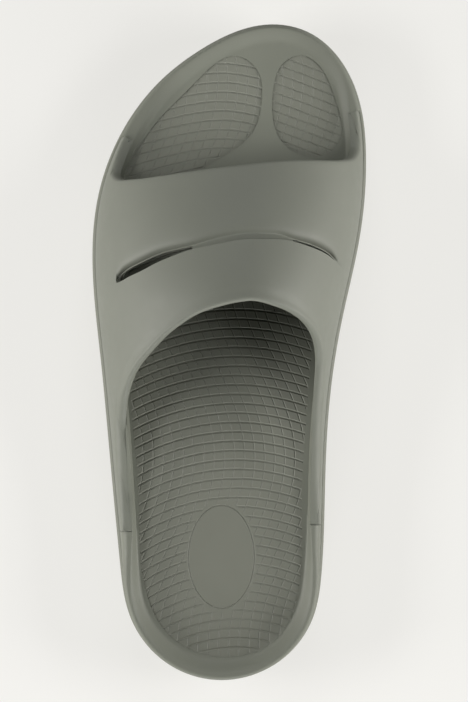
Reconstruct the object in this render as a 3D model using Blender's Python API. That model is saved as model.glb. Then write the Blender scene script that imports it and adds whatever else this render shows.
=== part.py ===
"""A slide for the left foot, moulded in foam.

The sole carries a cupped footbed with a textured insole and two toe pads let into it.
The upper is a hollow band over the forefoot whose side wings sit on a ledge of the sole.

Lengths are in millimetres until a mesh is made, where MM turns them into metres.
+X points to the inner side of the foot, +Y to the toe and +Z up, with the floor at z = 0.
"""

import math

import bmesh
import bpy
import numpy as np

MM = 0.001

# Driving sizes
LENGTH = 288.0
WIDTH = 121.0
BAND_TOP = 88.0
WALL = 4.0
FIT_GAP = 0.3

# Plan outline of the sole, round from the toe tip by the inner side:
# place, percent of the half width towards the inner side, percent of the half length towards the toe
OUTLINE = (
    ("toe tip", 30.5, 100.0),
    ("big toe", 58.5, 97.5),
    ("big toe side", 82.5, 88.5),
    ("inner toe joint", 96.5, 74.5),
    ("inner ball", 100.0, 60.0),
    ("behind inner ball", 95.5, 35.5),
    ("front of arch", 83.0, 11.0),
    ("arch", 73.5, -14.5),
    ("back of arch", 70.0, -42.0),
    ("inner heel", 67.5, -67.5),
    ("inner heel corner", 60.5, -82.0),
    ("inner heel end", 38.0, -94.0),
    ("heel end", -5.0, -100.0),
    ("outer heel end", -48.5, -94.0),
    ("outer heel corner", -71.5, -81.5),
    ("outer heel", -79.5, -64.5),
    ("outer waist", -86.0, -36.0),
    ("behind outer ball", -93.5, -2.5),
    ("outer ball", -99.5, 25.0),
    ("little toe joint", -96.5, 46.0),
    ("little toe", -82.0, 64.5),
    ("small toes", -51.5, 82.5),
    ("second toe", -20.5, 92.5),
)

# Heights along the foot: percent of the half length, underside, side ledge, footbed, rise of the rim
SOLE_SECTIONS = (
    (-100.0, 6.5, 23.0, 33.5, 7.0),
    (-78.0, 0.0, 19.0, 31.0, 7.5),
    (-44.0, 0.0, 18.5, 31.0, 5.5),
    (-19.0, 3.0, 18.5, 32.0, 5.0),
    (6.0, 0.0, 18.0, 29.0, 4.5),
    (46.0, 0.0, 17.0, 24.5, 4.0),
    (70.0, 4.0, 18.5, 25.0, 3.5),
    (87.0, 9.5, 22.0, 28.0, 3.0),
    (100.0, 14.5, 26.5, 31.5, 3.0),
)

# Crest of the band along the foot: percent of the half length, percent of BAND_TOP
CREST_SECTIONS = (
    (-55.0, 104.0),
    (-10.0, 103.0),
    (15.0, 100.0),
    (35.0, 90.0),
    (56.0, 76.0),
    (74.0, 66.0),
)

# Edges of the upper, one row for each line that runs over it from front to back.
# An angle is the way over the arch, in degrees: 0 at the outer foot, 90 at the crest, 180 at the inner foot.
# A place is along the foot, in millimetres.
# The slit is open up to the bridge over the crest, and again past it.
# Columns: name, front edge (angle, place), front lip of the slit (angle, place), width of the slit,
# collar (angle, place), rounding of the edges
UPPER_LINES = (
    ("outer foot", 0.0, 94.5, 0.0, 27.0, 0.0, 0.0, -78.3, 0.3),
    ("outer end", 11.0, 94.5, 9.0, 27.0, 0.0, 11.0, -78.3, 0.3),
    ("outer end corner", 14.5, 93.8, 14.0, 27.5, 0.0, 14.3, -77.8, 0.4),
    ("outer wing", 16.0, 87.0, 18.5, 28.0, 0.0, 15.0, -66.0, 1.0),
    ("outer wing rise", 18.5, 80.0, 23.5, 29.0, 0.0, 17.0, -48.0, 1.6),
    ("slit start", 23.5, 76.6, 28.5, 30.0, 0.0, 20.0, -33.0, 1.8),
    ("slit corner", 28.5, 75.6, 31.5, 31.6, 1.6, 24.0, -25.5, 1.8),
    ("outer side", 34.0, 75.3, 37.0, 34.1, 2.4, 29.5, -17.5, 1.8),
    ("outer shoulder", 42.0, 75.4, 45.0, 37.3, 2.6, 37.5, -8.5, 1.8),
    ("outer slope", 53.0, 76.3, 56.0, 41.5, 2.4, 48.0, 0.0, 1.8),
    ("bridge start", 66.0, 77.8, 69.5, 45.3, 1.6, 61.0, 10.2, 1.8),
    ("beside crest", 77.0, 79.2, 78.0, 48.0, 2.2, 75.0, 18.0, 1.8),
    ("crest", 91.0, 80.9, 92.0, 50.5, 2.7, 93.0, 22.0, 1.8),
    ("inner top", 104.0, 82.2, 105.0, 49.6, 1.8, 110.0, 19.3, 1.8),
    ("bridge end", 115.0, 82.8, 115.0, 47.9, 0.9, 125.0, 14.8, 1.8),
    ("inner shoulder", 127.0, 83.1, 127.0, 45.8, 1.1, 138.0, 8.6, 1.8),
    ("inner side", 138.0, 83.2, 138.0, 42.6, 0.8, 147.0, 2.0, 1.8),
    ("slit end", 148.0, 83.8, 149.5, 37.7, 0.0, 153.0, -6.0, 1.8),
    ("inner wing rise", 155.5, 86.0, 155.0, 36.5, 0.0, 157.5, -24.0, 1.8),
    ("inner wing", 160.5, 91.0, 160.5, 36.0, 0.0, 161.5, -45.0, 1.6),
    ("inner wing end", 164.0, 98.5, 165.0, 36.0, 0.0, 164.0, -64.0, 1.0),
    ("inner end corner", 166.0, 105.0, 168.5, 36.0, 0.0, 165.0, -74.7, 0.4),
    ("inner end", 169.0, 105.7, 173.0, 36.0, 0.0, 169.0, -75.2, 0.3),
    ("inner foot", 180.0, 105.7, 180.0, 36.0, 0.0, 180.0, -75.2, 0.3),
)

# Plan outlines of what is let into the footbed, round from the front point by the inner side (x, y)
INSOLE_OUTLINE = (
    (2.0, 66.0),
    (30.0, 56.0),
    (42.5, 32.0),
    (37.5, 6.0),
    (33.5, -24.0),
    (31.3, -60.0),
    (30.0, -98.0),
    (21.0, -124.0),
    (-2.0, -132.0),
    (-26.0, -122.5),
    (-36.3, -98.0),
    (-39.5, -65.0),
    (-42.5, -24.0),
    (-46.0, 12.0),
    (-45.0, 38.0),
    (-29.0, 58.0),
)
LATERAL_PAD_OUTLINE = (
    (4.5, 129.5),
    (13.0, 122.5),
    (14.5, 114.0),
    (10.0, 96.0),
    (-4.0, 85.0),
    (-22.0, 74.0),
    (-39.0, 70.0),
    (-45.0, 78.0),
    (-41.0, 88.0),
    (-30.5, 102.5),
    (-16.5, 116.5),
)
MEDIAL_PAD_OUTLINE = (
    (31.0, 130.0),
    (39.5, 125.5),
    (45.0, 115.5),
    (48.5, 105.0),
    (49.5, 95.0),
    (43.0, 87.0),
    (32.0, 86.5),
    (22.0, 94.0),
    (19.0, 105.0),
    (19.5, 116.0),
    (22.5, 125.0),
)

# Side of the sole up to the ledge: name, inset from the outline, percent of the way up, rise over that
SIDE_STEPS = (
    ("foot of the edge", 6.0, 0.0, 0.0),
    ("bottom round", 2.8, 0.0, 0.9),
    ("lower side", 1.3, 0.0, 3.4),
    ("middle of the side", 0.3, 50.0, 0.0),
    ("bead", 0.0, 100.0, -0.7),
    ("top of the bead", 0.4, 100.0, 0.0),
)

# Section of the sole
LEDGE_WIDTH = 1.2
SEAT_DROP = 0.4
RIM_FOOT = 12.5
RIM_CREST = 5.0
RIM_ROUND = 2.4
RIM_STEPS = 4
LEAN_REACH = (34.0, 58.0)
LEAN_LIMIT = 0.9
ARCH_LIFT = 4.5
ARCH_PLACE = -22.0
ARCH_SPREAD = 42.0
ARCH_START = 6.0
ARCH_FULL = 40.0

# Section of the band
CREST_X = 7.0
LIP_DIP = 1.9
LIP_REACH = 3.5
LIP_FULL_GAP = 0.8

# What is let into the footbed
PAD_DEPTH = 2.6
PAD_SINK = 0.3
PAD_EDGE = 0.5
OVAL_CENTRE = (-3.3, -89.2)
OVAL_HALF = (14.4, 22.5)
OVAL_GROOVE = 1.1
OVAL_GROOVE_DEPTH = 0.7

# Tread grooves under forefoot and heel: name, first place along the foot, number
TREAD_ROWS = (("forefoot", 14.0, 5), ("heel", -106.0, 4))
TREAD_PITCH = 12.0
TREAD_WIDTH = 3.2
TREAD_FLOOR = 2.2
TREAD_DEPTH = 2.0
TREAD_BOW = 4.0
TREAD_SPAN = 0.74

# How finely the curves are divided
OUTLINE_STEPS = 96
SPLINE_STEPS = 32
FOOTBED_STEPS = 7
UNDERSIDE_STEPS = 2
LINE_STEPS = 2
FRONT_ROWS = 6
BACK_ROWS = 8
EDGE_ANGLES = (90.0, 30.0, -30.0, -90.0)
WING_STEPS = 32
WING_ANGLES = (0.0, 8.0, 16.0, 24.0, 34.0)
TREAD_STEPS = 7
INSOLE_STEPS = 56
LATERAL_PAD_STEPS = 36
MEDIAL_PAD_STEPS = 32
OVAL_STEPS = 28
NORMAL_STEP = 0.5
SHARP_ANGLE = 40.0

# How far a cutter runs on past what it cuts: sideways, and over or under the surface
CUTTER_REACH = 8.0
CUTTER_RISE = 2.0

FOAM = (0.192, 0.202, 0.168, 1.0)
FOAM_DARK = (0.168, 0.177, 0.148, 1.0)
FOAM_ROUGHNESS = 0.62


def ease(share):
    """A share that starts and ends softly, held between 0 and 1."""
    held = np.clip(share, 0.0, 1.0)
    return held * held * (3.0 - 2.0 * held)


def smooth_through(knots, values):
    """A curve through the values that never swings past them."""
    knots = np.asarray(knots, dtype=float)
    values = np.asarray(values, dtype=float)
    gaps = np.diff(knots)
    slopes = np.diff(values) / gaps
    lean = np.zeros_like(values)
    lean[0] = slopes[0]
    lean[-1] = slopes[-1]
    same_way = slopes[:-1] * slopes[1:] > 0.0
    pair_sum = np.where(same_way, slopes[:-1] + slopes[1:], 1.0)
    lean[1:-1] = np.where(same_way, 2.0 * slopes[:-1] * slopes[1:] / pair_sum, 0.0)

    def curve(place):
        place = np.clip(np.asarray(place, dtype=float), knots[0], knots[-1])
        span = np.clip(np.searchsorted(knots, place) - 1, 0, len(gaps) - 1)
        share = (place - knots[span]) / gaps[span]
        back = 1.0 - share
        start = values[span] * (1.0 + 2.0 * share) * back * back
        end = values[span + 1] * (3.0 - 2.0 * share) * share * share
        bend = gaps[span] * share * back * (lean[span] * back - lean[span + 1] * share)
        return start + end + bend

    return curve


def closed_spline(points, count):
    """Evenly spaced points on a smooth closed curve through the given ones, from the first on."""
    knots = np.asarray(points, dtype=float)
    size = len(knots)
    ahead = np.roll(knots, -1, axis=0) - knots
    gap = np.linalg.norm(ahead, axis=1)
    gap_before = np.roll(gap, 1)
    system = np.zeros((size, size))
    for row in range(size):
        system[row, row - 1] += 1.0 / gap_before[row]
        system[row, row] += 2.0 / gap_before[row] + 2.0 / gap[row]
        system[row, (row + 1) % size] += 1.0 / gap[row]
    pull = 3.0 * (ahead / gap[:, None] ** 2 + np.roll(ahead, 1, axis=0) / gap_before[:, None] ** 2)
    speed = np.linalg.solve(system, pull)
    share = np.linspace(0.0, 1.0, SPLINE_STEPS, endpoint=False)[None, :, None]
    back = 1.0 - share
    reach = gap[:, None, None]
    fine = (
        knots[:, None] * (1.0 + 2.0 * share) * back * back
        + np.roll(knots, -1, axis=0)[:, None] * (3.0 - 2.0 * share) * share * share
        + reach * share * back * (speed[:, None] * back - np.roll(speed, -1, axis=0)[:, None] * share)
    ).reshape(-1, 2)
    fine = np.vstack([fine, fine[:1]])
    run = np.concatenate([[0.0], np.cumsum(np.linalg.norm(np.diff(fine, axis=0), axis=1))])
    even = np.linspace(0.0, run[-1], count, endpoint=False)
    return np.column_stack([np.interp(even, run, fine[:, axis]) for axis in range(2)])


def inset_loop(loop, inset):
    """The closed plan loop, which runs clockwise, moved inwards."""
    along = np.roll(loop, -1, axis=0) - np.roll(loop, 1, axis=0)
    along /= np.linalg.norm(along, axis=1)[:, None]
    inward = np.column_stack([along[:, 1], -along[:, 0]])
    return loop + inward * np.reshape(inset, (-1, 1))


HALF_LENGTH = LENGTH / 2.0
OUTLINE_PLAN = [(x * WIDTH / 200.0, y * LENGTH / 200.0) for _, x, y in OUTLINE]
RIM_LOOP = closed_spline(OUTLINE_PLAN, OUTLINE_STEPS)
FINE_LOOP = closed_spline(OUTLINE_PLAN, 4 * OUTLINE_STEPS)

SECTION_PLACES = [row[0] * HALF_LENGTH / 100.0 for row in SOLE_SECTIONS]
underside = smooth_through(SECTION_PLACES, [row[1] for row in SOLE_SECTIONS])
ledge = smooth_through(SECTION_PLACES, [row[2] for row in SOLE_SECTIONS])
footbed_level = smooth_through(SECTION_PLACES, [row[3] for row in SOLE_SECTIONS])
rim_rise = smooth_through(SECTION_PLACES, [row[4] for row in SOLE_SECTIONS])
crest = smooth_through(
    [row[0] * HALF_LENGTH / 100.0 for row in CREST_SECTIONS],
    [row[1] * BAND_TOP / 100.0 for row in CREST_SECTIONS],
)


def side_x(place, inner):
    """The sole's outline on its inner or outer side, at a place along the foot."""
    heel = int(np.argmin(FINE_LOOP[:, 1]))
    side = FINE_LOOP[: heel + 1][::-1] if inner else FINE_LOOP[heel:]
    return np.interp(place, side[:, 1], side[:, 0])


def outline_inset(x, y):
    """How far each plan point lies inside the sole's outline."""
    points = np.column_stack([np.ravel(x), np.ravel(y)])
    start = FINE_LOOP
    step = np.roll(FINE_LOOP, -1, axis=0) - start
    offset = points[:, None] - start[None]
    share = np.clip((offset * step).sum(axis=2) / (step * step).sum(axis=1), 0.0, 1.0)
    apart = np.linalg.norm(offset - share[:, :, None] * step, axis=2)
    return apart.min(axis=1).reshape(np.shape(x))


def footbed(x, y):
    """Height of the moulded top of the sole: level, arch and rim."""
    rim = rim_rise(y) * ease((RIM_FOOT - outline_inset(x, y)) / (RIM_FOOT - RIM_CREST))
    arch = ARCH_LIFT * np.exp(-(((y - ARCH_PLACE) / ARCH_SPREAD) ** 2))
    return footbed_level(y) + rim + arch * ease((x - ARCH_START) / (ARCH_FULL - ARCH_START))


def band_surface(angle, place):
    """Outer surface of the upper, at an angle over the arch and a place along the foot."""
    turn = np.radians(angle)
    outer_half = CREST_X - side_x(place, False) - LEDGE_WIDTH
    inner_half = side_x(place, True) - LEDGE_WIDTH - CREST_X
    half = np.where(angle < 90.0, outer_half, inner_half)
    foot = ledge(place) - SEAT_DROP + FIT_GAP
    x = CREST_X - half * np.cos(turn)
    z = foot + (crest(place) - foot) * np.sin(turn)
    return np.stack([x, np.broadcast_to(place, np.shape(x)), z], axis=-1)


def band_normal(angle, place):
    """Direction straight out of the upper's outer surface."""
    over = band_surface(angle + NORMAL_STEP, place) - band_surface(angle - NORMAL_STEP, place)
    along = band_surface(angle, place + NORMAL_STEP) - band_surface(angle, place - NORMAL_STEP)
    out = np.cross(over, along)
    return out / np.linalg.norm(out, axis=-1, keepdims=True)


class Solid:
    """Points and faces of one piece while it is being built."""

    def __init__(self):
        self.points = []
        self.faces = []

    def add(self, points):
        """Add points and give back their numbers."""
        first = len(self.points)
        self.points.extend(np.reshape(points, (-1, 3)).tolist())
        return np.arange(first, len(self.points)).reshape(np.shape(points)[:-1])

    def bridge(self, loop, other, closed=True):
        """Join two runs of points by four-sided faces."""
        count = len(loop) if closed else len(loop) - 1
        for here in range(count):
            there = (here + 1) % len(loop)
            corners = (loop[here], loop[there], other[there], other[here])
            face = list(dict.fromkeys(int(corner) for corner in corners))
            if len(face) > 2:
                self.faces.append(face)

    def fill_across(self, loop, steps, height):
        """Close a loop that starts at its front point with rows from side to side."""
        half = len(loop) // 2
        before = [loop[0]] * (steps + 1)
        for row in range(1, half):
            ends = np.array([self.points[loop[-row]], self.points[loop[row]]])
            share = np.linspace(0.0, 1.0, steps + 1)[1:-1, None]
            plan = ends[0] * (1.0 - share) + ends[1] * share
            plan[:, 2] = height(plan[:, 0], plan[:, 1])
            line = [loop[-row], *self.add(plan), loop[row]]
            self.bridge(before, line, closed=False)
            before = line
        self.bridge(before, [loop[half]] * (steps + 1), closed=False)

    def make(self, name, material, cutter=False):
        """The finished object, with its faces turned outwards."""
        mesh = bpy.data.meshes.new(name)
        work = bmesh.new()
        corners = [work.verts.new([value * MM for value in point]) for point in self.points]
        for face in self.faces:
            work.faces.new([corners[number] for number in face])
        bmesh.ops.recalc_face_normals(work, faces=work.faces[:])
        work.to_mesh(mesh)
        work.free()
        piece = bpy.data.objects.new(name, mesh)
        bpy.context.scene.collection.objects.link(piece)
        if cutter:
            piece.hide_render = True
            piece.display_type = "WIRE"
        else:
            mesh.materials.append(material)
            mesh.shade_smooth()
            mesh.set_sharp_from_angle(angle=math.radians(SHARP_ANGLE))
        return piece


def foam_material(name, colour):
    """Matt closed-cell foam."""
    material = bpy.data.materials.new(name)
    material.use_nodes = True
    shader = material.node_tree.nodes["Principled BSDF"]
    shader.inputs["Base Color"].default_value = colour
    shader.inputs["Roughness"].default_value = FOAM_ROUGHNESS
    shader.inputs["Metallic"].default_value = 0.0
    return material


def cut(piece, cutter):
    """Take the cutter's shape out of the piece."""
    boolean = piece.modifiers.new("cut by " + cutter.name, "BOOLEAN")
    boolean.operation = "DIFFERENCE"
    boolean.solver = "EXACT"
    boolean.object = cutter


def sole_body(material):
    """The moulded sole before anything is cut out of it."""
    solid = Solid()
    x = RIM_LOOP[:, 0]
    y = RIM_LOOP[:, 1]
    shelf = ledge(y)
    low = underside(y)
    crest_loop = inset_loop(RIM_LOOP, RIM_CREST)
    top = footbed(crest_loop[:, 0], crest_loop[:, 1])
    half = np.clip(np.abs(x - CREST_X), *LEAN_REACH)
    arch_height = crest(y) - shelf

    def leaned(height):
        """Inset of the rim's outer face, which leans in as the upper does."""
        share = np.clip((height - shelf) / arch_height, 0.0, LEAN_LIMIT)
        return LEDGE_WIDTH + half * (1.0 - np.sqrt(1.0 - share * share))

    def ring(inset, height):
        loop = inset_loop(RIM_LOOP, inset)
        return solid.add(np.column_stack([loop, np.broadcast_to(height, len(loop))]))

    rings = [ring(inset, low + (shelf - low) * up / 100.0 + rise) for _, inset, up, rise in SIDE_STEPS]
    rings.append(ring(LEDGE_WIDTH, shelf))
    for height in (0.5 * (shelf + top), top - RIM_ROUND):
        rings.append(ring(leaned(height), height))
    rings.append(ring(leaned(top - RIM_ROUND) + 0.3 * RIM_ROUND, top - 0.3 * RIM_ROUND))
    for inset in np.linspace(RIM_CREST, RIM_FOOT, RIM_STEPS + 1):
        loop = inset_loop(RIM_LOOP, inset)
        rings.append(ring(inset, footbed(loop[:, 0], loop[:, 1])))
    for lower, upper in zip(rings[:-1], rings[1:]):
        solid.bridge(lower, upper)
    solid.fill_across(rings[0], UNDERSIDE_STEPS, lambda x, y: underside(y))
    solid.fill_across(rings[-1], FOOTBED_STEPS, footbed)
    return solid.make("sole", material)


def wing_cutter(inner):
    """Room for one wing of the upper: all that lies outside its inner face, above the seat."""
    solid = Solid()
    line = UPPER_LINES[-1] if inner else UPPER_LINES[0]
    places = np.linspace(line[2] + FIT_GAP, line[7] - FIT_GAP, WING_STEPS)
    angles = np.array(WING_ANGLES)
    if inner:
        angles = 180.0 - angles
    rings = []
    for place in places:
        skin = band_surface(angles, place)
        out = band_normal(angles, place)
        face = skin - (WALL + FIT_GAP) * out
        face[0, 2] = ledge(place) - SEAT_DROP
        outside = skin[0] + CUTTER_REACH * out[0]
        top = (outside[0], outside[1], face[-1, 2])
        seat = (outside[0], outside[1], face[0, 2])
        rings.append(solid.add(np.vstack([face, top, seat])))
    for front, back in zip(rings[:-1], rings[1:]):
        solid.bridge(front, back)
    solid.faces.append([int(number) for number in rings[0]])
    solid.faces.append([int(number) for number in rings[-1]])
    return solid.make("inner wing room" if inner else "outer wing room", None, cutter=True)


def tread_cutter():
    """Bowed grooves across the flat parts of the underside."""
    solid = Solid()
    for _, first, count in TREAD_ROWS:
        for groove in range(count):
            place = first + groove * TREAD_PITCH
            left = side_x(place, False)
            right = side_x(place, True)
            middle = 0.5 * (left + right)
            half = 0.5 * (right - left) * TREAD_SPAN
            rings = []
            for share in np.linspace(-1.0, 1.0, TREAD_STEPS):
                across = middle + share * half
                bowed = place - TREAD_BOW * share * share
                rings.append(solid.add(np.array([
                    (across, bowed + 0.5 * TREAD_WIDTH, -CUTTER_RISE),
                    (across, bowed + 0.5 * TREAD_FLOOR, TREAD_DEPTH),
                    (across, bowed - 0.5 * TREAD_FLOOR, TREAD_DEPTH),
                    (across, bowed - 0.5 * TREAD_WIDTH, -CUTTER_RISE),
                ])))
            for here, there in zip(rings[:-1], rings[1:]):
                solid.bridge(here, there)
            solid.faces.append([int(number) for number in rings[0]])
            solid.faces.append([int(number) for number in rings[-1]])
    return solid.make("tread grooves", None, cutter=True)


def slab(name, outline, steps, levels, material, cutter=False):
    """A slab that follows the footbed, from rows of inset and height over the footbed, lowest first."""
    solid = Solid()
    loop = closed_spline(outline, steps)
    rings = []
    for inset, lift in levels:
        plan = inset_loop(loop, inset)
        level = inset_loop(loop, max(inset, 0.0))
        rings.append(solid.add(np.column_stack([plan, footbed(level[:, 0], level[:, 1]) + lift])))
    for lower, upper in zip(rings[:-1], rings[1:]):
        solid.bridge(lower, upper)
    columns = max(4, steps // 8)
    solid.fill_across(rings[0], columns, lambda x, y: footbed(x, y) + levels[0][1])
    solid.fill_across(rings[-1], columns, lambda x, y: footbed(x, y) + levels[-1][1])
    return solid.make(name, material, cutter)


def let_in(sole, name, outline, steps, material):
    """A pad let into the footbed, and the recess that it lies in."""
    under = -PAD_SINK - PAD_DEPTH
    levels = ((0.0, under), (0.0, -PAD_SINK - PAD_EDGE), (PAD_EDGE, -PAD_SINK))
    pad = slab(name, outline, steps, levels, material)
    room = ((-FIT_GAP, under - FIT_GAP), (-FIT_GAP, CUTTER_REACH))
    cut(sole, slab(name + " recess", outline, steps, room, None, cutter=True))
    return pad


def oval_cutter():
    """The groove round the plain oval in the heel."""
    solid = Solid()
    turn = np.linspace(0.0, 2.0 * math.pi, OVAL_STEPS, endpoint=False)
    rings = []
    for widen, lift in (
        (0.5 * OVAL_GROOVE, CUTTER_RISE), (0.0, -OVAL_GROOVE_DEPTH), (-0.5 * OVAL_GROOVE, CUTTER_RISE),
    ):
        x = OVAL_CENTRE[0] + (OVAL_HALF[0] + widen) * np.cos(turn)
        y = OVAL_CENTRE[1] + (OVAL_HALF[1] + widen) * np.sin(turn)
        rings.append(solid.add(np.column_stack([x, y, footbed(x, y) - PAD_SINK + lift])))
    for here, there in zip(rings, rings[1:] + rings[:1]):
        solid.bridge(here, there)
    return solid.make("oval groove", None, cutter=True)


def upper_edges():
    """Front edge, slit and collar of the upper at each line over it, with the lines divided evenly."""
    knots = np.arange(len(UPPER_LINES))
    fine = np.linspace(0, knots[-1], knots[-1] * LINE_STEPS + 1)
    columns = [smooth_through(knots, [row[number] for row in UPPER_LINES])(fine) for number in range(1, 9)]
    front = np.column_stack(columns[0:2])
    slit = np.column_stack(columns[2:4])
    return front, slit, columns[4], np.column_stack(columns[5:7]), columns[7]


def upper_shell(material):
    """The hollow band with its wings, its slit and its rounded edges."""
    solid = Solid()
    front, slit, gap, collar, rounding = upper_edges()
    lines = len(front)
    names = [row[0] for row in UPPER_LINES]
    start, bridge_start, bridge_end, end = (
        names.index(name) * LINE_STEPS for name in ("slit start", "bridge start", "bridge end", "slit end")
    )

    back_lip = slit - np.column_stack([np.zeros(lines), gap])
    share = np.linspace(0.0, 1.0, FRONT_ROWS + 1)[None, :, None]
    ahead = front[:, None] * (1.0 - share) + slit[:, None] * share
    share = np.linspace(0.0, 1.0, BACK_ROWS + 1)[None, :, None]
    behind = back_lip[:, None] * (1.0 - share) + collar[:, None] * share
    grid = np.concatenate([ahead, behind], axis=1)

    surface = band_surface(grid[..., 0], grid[..., 1])
    normal = band_normal(grid[..., 0], grid[..., 1])
    to_slit = np.linalg.norm(surface - surface[:, FRONT_ROWS][:, None], axis=2)
    before_slit = np.arange(grid.shape[1]) <= FRONT_ROWS
    deep = LIP_DIP * np.minimum(gap / LIP_FULL_GAP, 1.0)
    dip = deep[:, None] * np.exp(-((to_slit / LIP_REACH) ** 2)) * before_slit
    surface = surface - normal * dip[..., None]

    def rounded(edge, beside):
        """Points round one free edge, from the outer face to the inner one."""
        back = surface[:, beside] - surface[:, edge]
        back /= np.linalg.norm(back, axis=1)[:, None]
        turn = np.radians(EDGE_ANGLES)
        pull = rounding[:, None] * (1.0 - np.cos(turn))
        depth = 0.5 * WALL * (1.0 - np.sin(turn))
        inward = normal[:, edge, None] * depth[:, None]
        return surface[:, edge, None] + back[:, None] * pull[..., None] - inward

    last = grid.shape[1] - 1
    front_round = solid.add(rounded(0, 1))
    collar_round = solid.add(rounded(last, last - 1))
    outer = solid.add(surface)
    inner = solid.add(surface - WALL * normal)
    for skin, row in ((outer, 0), (inner, -1)):
        skin[:, 0] = front_round[:, row]
        skin[:, last] = collar_round[:, row]
        skin[: start + 1, FRONT_ROWS + 1] = skin[: start + 1, FRONT_ROWS]
        skin[end:, FRONT_ROWS + 1] = skin[end:, FRONT_ROWS]
        for line in range(lines - 1):
            for first, stop in ((0, FRONT_ROWS + 1), (FRONT_ROWS + 1, last + 1)):
                solid.bridge(skin[line, first:stop], skin[line + 1, first:stop], closed=False)
    for strip in (front_round, collar_round):
        for line in range(lines - 1):
            solid.bridge(strip[line], strip[line + 1], closed=False)
        solid.faces.append([int(number) for number in strip[0]])
        solid.faces.append([int(number) for number in strip[-1]])
    lips = (FRONT_ROWS, FRONT_ROWS + 1)
    for first, stop in ((start, bridge_start), (bridge_end, end)):
        for row in lips:
            solid.bridge(outer[first : stop + 1, row], inner[first : stop + 1, row], closed=False)
    for skin in (outer, inner):
        over_bridge = skin[bridge_start : bridge_end + 1]
        solid.bridge(over_bridge[:, lips[0]], over_bridge[:, lips[1]], closed=False)
    for line in (bridge_start, bridge_end):
        solid.bridge(outer[line, lips[0] : lips[1] + 1], inner[line, lips[0] : lips[1] + 1], closed=False)
    for line in (0, -1):
        solid.bridge(outer[line], inner[line], closed=False)
    used = sorted({number for face in solid.faces for number in face})
    renumber = {number: place for place, number in enumerate(used)}
    solid.points = [solid.points[number] for number in used]
    solid.faces = [[renumber[number] for number in face] for face in solid.faces]
    return solid.make("upper", material)


def build():
    for old in list(bpy.data.objects):
        bpy.data.objects.remove(old, do_unlink=True)
    foam = foam_material("olive foam", FOAM)
    dark_foam = foam_material("footbed foam", FOAM_DARK)
    sole = sole_body(foam)
    upper_shell(foam)
    insole = let_in(sole, "insole", INSOLE_OUTLINE, INSOLE_STEPS, dark_foam)
    let_in(sole, "toe_pad_lateral", LATERAL_PAD_OUTLINE, LATERAL_PAD_STEPS, dark_foam)
    let_in(sole, "toe_pad_medial", MEDIAL_PAD_OUTLINE, MEDIAL_PAD_STEPS, dark_foam)
    cut(insole, oval_cutter())
    cut(sole, wing_cutter(False))
    cut(sole, wing_cutter(True))
    cut(sole, tread_cutter())


build()
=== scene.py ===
"""Looks of a foam slide for the left foot: its pieces in fine form, their finish, studio light and camera.

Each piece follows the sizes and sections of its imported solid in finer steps, and adds the moulded detail:
the ribbed grid of the footbed, the rolled lip of the slit and the soft trough along the collar.
Lengths are in millimetres until a mesh is placed, where MM turns them into metres.
+X points to the inner side of the foot, +Y to the toe and +Z up, with the floor at z = 0.
"""

import math

import bpy
import numpy as np
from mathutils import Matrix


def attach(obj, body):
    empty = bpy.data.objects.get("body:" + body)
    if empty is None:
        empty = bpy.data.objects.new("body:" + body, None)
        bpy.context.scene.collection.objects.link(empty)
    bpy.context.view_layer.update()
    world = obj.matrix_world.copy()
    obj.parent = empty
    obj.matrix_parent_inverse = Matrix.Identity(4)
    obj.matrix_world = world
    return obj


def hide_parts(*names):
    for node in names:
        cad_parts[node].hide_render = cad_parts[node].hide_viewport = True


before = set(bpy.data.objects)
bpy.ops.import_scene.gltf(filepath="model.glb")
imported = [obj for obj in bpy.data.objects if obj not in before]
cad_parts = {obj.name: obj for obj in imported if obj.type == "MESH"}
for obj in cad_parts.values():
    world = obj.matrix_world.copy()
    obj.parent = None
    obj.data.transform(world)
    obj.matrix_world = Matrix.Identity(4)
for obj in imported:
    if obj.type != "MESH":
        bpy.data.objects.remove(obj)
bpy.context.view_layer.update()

MM = 0.001

# Driving sizes
LENGTH = 288.0
WIDTH = 121.0
BAND_TOP = 88.0
WALL = 4.0
SEAM_GAP = 0.03

# Plan outline of the sole, round from the toe tip by the inner side:
# place, percent of the half width towards the inner side, percent of the half length towards the toe
OUTLINE = (
    ("toe tip", 30.5, 100.0),
    ("big toe", 58.5, 97.5),
    ("big toe side", 82.5, 88.5),
    ("inner toe joint", 96.5, 74.5),
    ("inner ball", 100.0, 60.0),
    ("behind inner ball", 95.5, 35.5),
    ("front of arch", 83.0, 11.0),
    ("arch", 73.5, -14.5),
    ("back of arch", 70.0, -42.0),
    ("inner heel", 67.5, -67.5),
    ("inner heel corner", 60.5, -82.0),
    ("inner heel end", 38.0, -94.0),
    ("heel end", -5.0, -100.0),
    ("outer heel end", -48.5, -94.0),
    ("outer heel corner", -71.5, -81.5),
    ("outer heel", -79.5, -64.5),
    ("outer waist", -86.0, -36.0),
    ("behind outer ball", -93.5, -2.5),
    ("outer ball", -99.5, 25.0),
    ("little toe joint", -96.5, 46.0),
    ("little toe", -82.0, 64.5),
    ("small toes", -51.5, 82.5),
    ("second toe", -20.5, 92.5),
)

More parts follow.
